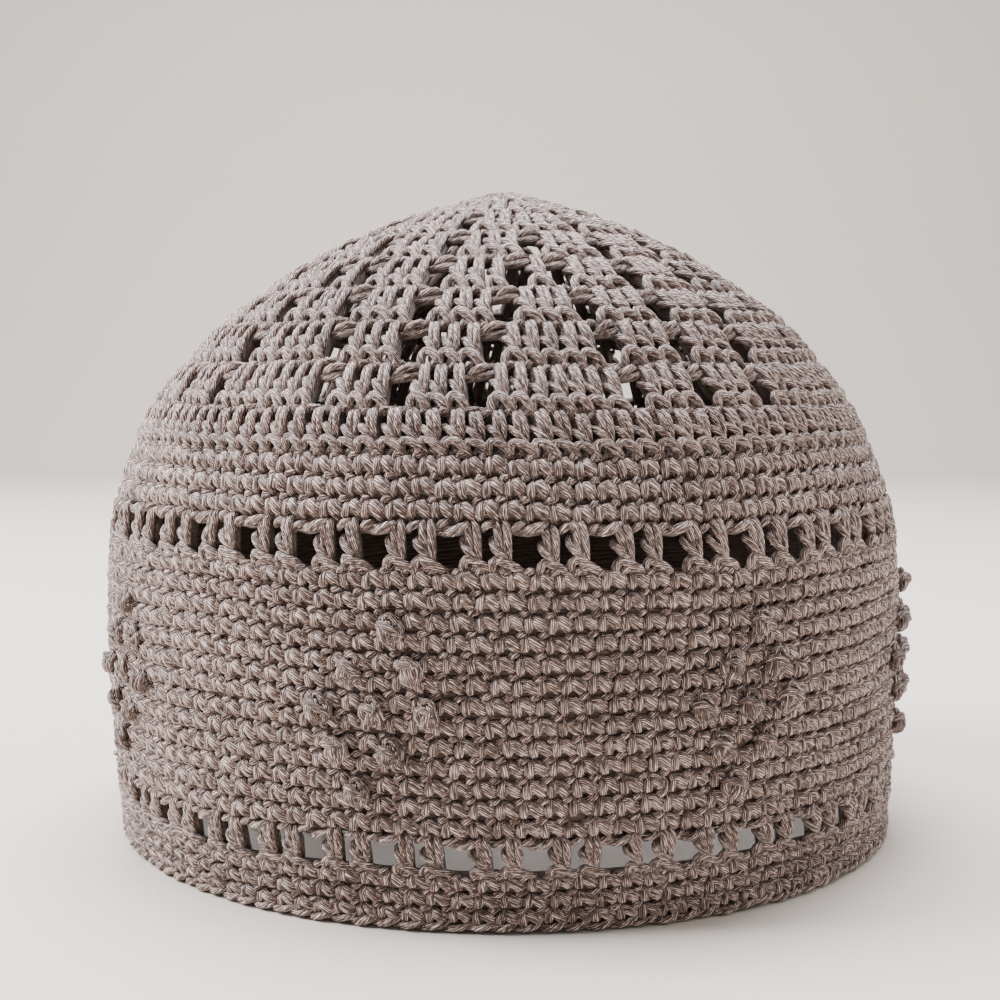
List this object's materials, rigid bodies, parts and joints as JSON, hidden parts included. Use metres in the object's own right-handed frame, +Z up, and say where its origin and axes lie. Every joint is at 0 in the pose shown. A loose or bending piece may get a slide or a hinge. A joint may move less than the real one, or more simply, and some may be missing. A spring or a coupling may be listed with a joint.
{
  "type": "crochet kufi cap",
  "caption": "Round brimless cap crocheted in cotton yarn, with an openwork domed crown, open eyelet rounds and a side band of raised bobble diamonds.",
  "frame": {"origin": "centre of the rim, on the plane that the cap stands on", "axes": "+Z up through the closed top, -Y towards the front in the picture, +X to the right of it"},
  "size_m": [0.1824, 0.1824, 0.1417],
  "materials": {
    "cotton_yarn": "taupe cotton yarn, loosely twisted, soft sheen"
  },
  "bodies": {
    "root": {"crown": "cotton_yarn", "upper_rounds": "cotton_yarn", "upper_eyelet_round": "cotton_yarn", "bobble_band": "cotton_yarn", "lower_eyelet_round": "cotton_yarn", "hem_rounds": "cotton_yarn", "edge_chain": "cotton_yarn"}
  },
  "joints": []
}
